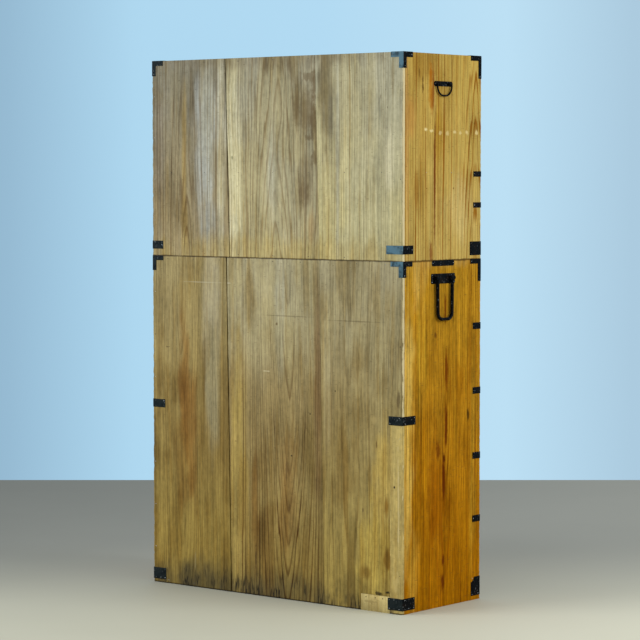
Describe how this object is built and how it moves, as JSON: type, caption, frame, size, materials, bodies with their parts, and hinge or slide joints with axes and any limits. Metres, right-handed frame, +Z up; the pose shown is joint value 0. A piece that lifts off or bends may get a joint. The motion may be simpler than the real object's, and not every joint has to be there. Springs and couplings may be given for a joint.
{
  "type": "two-section clothing chest",
  "caption": "Tall wooden two-section clothing chest with drawers, sliding doors, iron corner straps, drawer bails and long side handles for a carrying pole.",
  "frame": {"origin": "middle of the underside of the lower case, which stands on the floor", "axes": "+Z up; the drawers and doors face -Y; the nailed back boards are at +Y; +X is to the right for someone who faces the drawers"},
  "size_m": [1.0904, 0.4268, 1.7572],
  "materials": {
    "back_boards": "weathered bare softwood",
    "side_boards": "oiled honey softwood",
    "case_boards": "oiled honey softwood",
    "drawer_fronts": "oiled honey softwood",
    "drawer_boxes": "bare softwood",
    "door_wood": "oiled honey softwood",
    "black_iron": "blackened forged iron"
  },
  "bodies": {
    "lower_case": {"lower_side_boards": "side_boards", "lower_top_and_bottom": "case_boards", "lower_back_boards": "back_boards", "lower_rails_and_dust_boards": "case_boards", "lower_ironwork": "black_iron", "lower_nails": "black_iron"},
    "upper_case": {"upper_side_boards": "side_boards", "upper_top_and_bottom": "case_boards", "upper_back_boards": "back_boards", "upper_shelf_rails_and_tracks": "case_boards", "upper_ironwork": "black_iron", "upper_nails": "black_iron"},
    "lower_drawer_1": {"lower_drawer_1_front": "drawer_fronts", "lower_drawer_1_box": "drawer_boxes", "lower_drawer_1_fittings": "black_iron"},
    "lower_drawer_1_left_bail": {"lower_drawer_1_left_bail": "black_iron"},
    "lower_drawer_1_right_bail": {"lower_drawer_1_right_bail": "black_iron"},
    "lower_drawer_2": {"lower_drawer_2_front": "drawer_fronts", "lower_drawer_2_box": "drawer_boxes", "lower_drawer_2_fittings": "black_iron"},
    "lower_drawer_2_left_bail": {"lower_drawer_2_left_bail": "black_iron"},
    "lower_drawer_2_right_bail": {"lower_drawer_2_right_bail": "black_iron"},
    "lower_drawer_3": {"lower_drawer_3_front": "drawer_fronts", "lower_drawer_3_box": "drawer_boxes", "lower_drawer_3_fittings": "black_iron"},
    "lower_drawer_3_left_bail": {"lower_drawer_3_left_bail": "black_iron"},
    "lower_drawer_3_right_bail": {"lower_drawer_3_right_bail": "black_iron"},
    "lower_drawer_4": {"lower_drawer_4_front": "drawer_fronts", "lower_drawer_4_box": "drawer_boxes", "lower_drawer_4_fittings": "black_iron"},
    "lower_drawer_4_left_bail": {"lower_drawer_4_left_bail": "black_iron"},
    "lower_drawer_4_right_bail": {"lower_drawer_4_right_bail": "black_iron"},
    "lower_drawer_5": {"lower_drawer_5_front": "drawer_fronts", "lower_drawer_5_box": "drawer_boxes", "lower_drawer_5_fittings": "black_iron"},
    "lower_drawer_5_left_bail": {"lower_drawer_5_left_bail": "black_iron"},
    "lower_drawer_5_right_bail": {"lower_drawer_5_right_bail": "black_iron"},
    "wide_drawer": {"wide_drawer_front": "drawer_fronts", "wide_drawer_box": "drawer_boxes", "wide_drawer_fittings": "black_iron"},
    "wide_drawer_left_bail": {"wide_drawer_left_bail": "black_iron"},
    "wide_drawer_right_bail": {"wide_drawer_right_bail": "black_iron"},
    "left_small_drawer": {"left_small_drawer_front": "drawer_fronts", "left_small_drawer_box": "drawer_boxes", "left_small_drawer_fittings": "black_iron"},
    "left_small_drawer_bail": {"left_small_drawer_bail": "black_iron"},
    "right_small_drawer": {"right_small_drawer_front": "drawer_fronts", "right_small_drawer_box": "drawer_boxes", "right_small_drawer_fittings": "black_iron"},
    "right_small_drawer_bail": {"right_small_drawer_bail": "black_iron"},
    "left_pole_handle": {"left_pole_handle": "black_iron"},
    "left_side_bail": {"left_side_bail": "black_iron"},
    "right_pole_handle": {"right_pole_handle": "black_iron"},
    "right_side_bail": {"right_side_bail": "black_iron"},
    "left_door": {"left_door_frame": "door_wood", "left_door_panel": "door_wood", "left_door_pull": "black_iron"},
    "right_door": {"right_door_frame": "door_wood", "right_door_panel": "door_wood", "right_door_pull": "black_iron"}
  },
  "joints": [
    {"name": "upper_case_lift", "type": "slide", "parent": "lower_case", "child": "upper_case", "axis": [0, 0, 1], "range_m": [0, 0.12]},
    {"name": "lower_drawer_1_slide", "type": "slide", "parent": "lower_case", "child": "lower_drawer_1", "axis": [0, -1, 0], "range_m": [0, 0.3]},
    {"name": "lower_drawer_1_left_bail_swing", "type": "hinge", "parent": "lower_drawer_1", "child": "lower_drawer_1_left_bail", "pos_m": [-0.27, -0.214, 1.0075], "axis": [-1, 0, 0], "range_deg": [0, 165]},
    {"name": "lower_drawer_1_right_bail_swing", "type": "hinge", "parent": "lower_drawer_1", "child": "lower_drawer_1_right_bail", "pos_m": [0.27, -0.214, 1.0075], "axis": [-1, 0, 0], "range_deg": [0, 165]},
    {"name": "lower_drawer_2_slide", "type": "slide", "parent": "lower_case", "child": "lower_drawer_2", "axis": [0, -1, 0], "range_m": [0, 0.3]},
    {"name": "lower_drawer_2_left_bail_swing", "type": "hinge", "parent": "lower_drawer_2", "child": "lower_drawer_2_left_bail", "pos_m": [-0.27, -0.214, 0.7995], "axis": [-1, 0, 0], "range_deg": [0, 165]},
    {"name": "lower_drawer_2_right_bail_swing", "type": "hinge", "parent": "lower_drawer_2", "child": "lower_drawer_2_right_bail", "pos_m": [0.27, -0.214, 0.7995], "axis": [-1, 0, 0], "range_deg": [0, 165]},
    {"name": "lower_drawer_3_slide", "type": "slide", "parent": "lower_case", "child": "lower_drawer_3", "axis": [0, -1, 0], "range_m": [0, 0.3]},
    {"name": "lower_drawer_3_left_bail_swing", "type": "hinge", "parent": "lower_drawer_3", "child": "lower_drawer_3_left_bail", "pos_m": [-0.27, -0.214, 0.5895], "axis": [-1, 0, 0], "range_deg": [0, 165]},
    {"name": "lower_drawer_3_right_bail_swing", "type": "hinge", "parent": "lower_drawer_3", "child": "lower_drawer_3_right_bail", "pos_m": [0.27, -0.214, 0.5895], "axis": [-1, 0, 0], "range_deg": [0, 165]},
    {"name": "lower_drawer_4_slide", "type": "slide", "parent": "lower_case", "child": "lower_drawer_4", "axis": [0, -1, 0], "range_m": [0, 0.3]},
    {"name": "lower_drawer_4_left_bail_swing", "type": "hinge", "parent": "lower_drawer_4", "child": "lower_drawer_4_left_bail", "pos_m": [-0.27, -0.214, 0.3815], "axis": [-1, 0, 0], "range_deg": [0, 165]},
    {"name": "lower_drawer_4_right_bail_swing", "type": "hinge", "parent": "lower_drawer_4", "child": "lower_drawer_4_right_bail", "pos_m": [0.27, -0.214, 0.3815], "axis": [-1, 0, 0], "range_deg": [0, 165]},
    {"name": "lower_drawer_5_slide", "type": "slide", "parent": "lower_case", "child": "lower_drawer_5", "axis": [0, -1, 0], "range_m": [0, 0.3]},
    {"name": "lower_drawer_5_left_bail_swing", "type": "hinge", "parent": "lower_drawer_5", "child": "lower_drawer_5_left_bail", "pos_m": [-0.27, -0.214, 0.152], "axis": [-1, 0, 0], "range_deg": [0, 165]},
    {"name": "lower_drawer_5_right_bail_swing", "type": "hinge", "parent": "lower_drawer_5", "child": "lower_drawer_5_right_bail", "pos_m": [0.27, -0.214, 0.152], "axis": [-1, 0, 0], "range_deg": [0, 165]},
    {"name": "wide_drawer_slide", "type": "slide", "parent": "upper_case", "child": "wide_drawer", "axis": [0, -1, 0], "range_m": [0, 0.3]},
    {"name": "wide_drawer_left_bail_swing", "type": "hinge", "parent": "wide_drawer", "child": "wide_drawer_left_bail", "pos_m": [-0.27, -0.214, 1.211], "axis": [-1, 0, 0], "range_deg": [0, 165]},
    {"name": "wide_drawer_right_bail_swing", "type": "hinge", "parent": "wide_drawer", "child": "wide_drawer_right_bail", "pos_m": [0.27, -0.214, 1.211], "axis": [-1, 0, 0], "range_deg": [0, 165]},
    {"name": "left_small_drawer_slide", "type": "slide", "parent": "upper_case", "child": "left_small_drawer", "axis": [0, -1, 0], "range_m": [0, 0.3]},
    {"name": "left_small_drawer_bail_swing", "type": "hinge", "parent": "left_small_drawer", "child": "left_small_drawer_bail", "pos_m": [-0.2595, -0.214, 1.34275], "axis": [-1, 0, 0], "range_deg": [0, 165]},
    {"name": "right_small_drawer_slide", "type": "slide", "parent": "upper_case", "child": "right_small_drawer", "axis": [0, -1, 0], "range_m": [0, 0.3]},
    {"name": "right_small_drawer_bail_swing", "type": "hinge", "parent": "right_small_drawer", "child": "right_small_drawer_bail", "pos_m": [0.2595, -0.214, 1.34275], "axis": [-1, 0, 0], "range_deg": [0, 165]},
    {"name": "left_pole_handle_swing", "type": "hinge", "parent": "lower_case", "child": "left_pole_handle", "pos_m": [-0.5386, -0.002, 1.05], "axis": [0, 1, 0], "range_deg": [0, 175]},
    {"name": "left_side_bail_swing", "type": "hinge", "parent": "upper_case", "child": "left_side_bail", "pos_m": [-0.536, -0.001, 1.662], "axis": [0, 1, 0], "range_deg": [0, 170]},
    {"name": "right_pole_handle_swing", "type": "hinge", "parent": "lower_case", "child": "right_pole_handle", "pos_m": [0.5386, -0.002, 1.05], "axis": [0, -1, 0], "range_deg": [0, 175]},
    {"name": "right_side_bail_swing", "type": "hinge", "parent": "upper_case", "child": "right_side_bail", "pos_m": [0.536, -0.001, 1.662], "axis": [0, -1, 0], "range_deg": [0, 170]},
    {"name": "left_door_slide", "type": "slide", "parent": "upper_case", "child": "left_door", "axis": [1, 0, 0], "range_m": [0, 0.45]},
    {"name": "right_door_slide", "type": "slide", "parent": "upper_case", "child": "right_door", "axis": [-1, 0, 0], "range_m": [0, 0.49]}
  ]
}
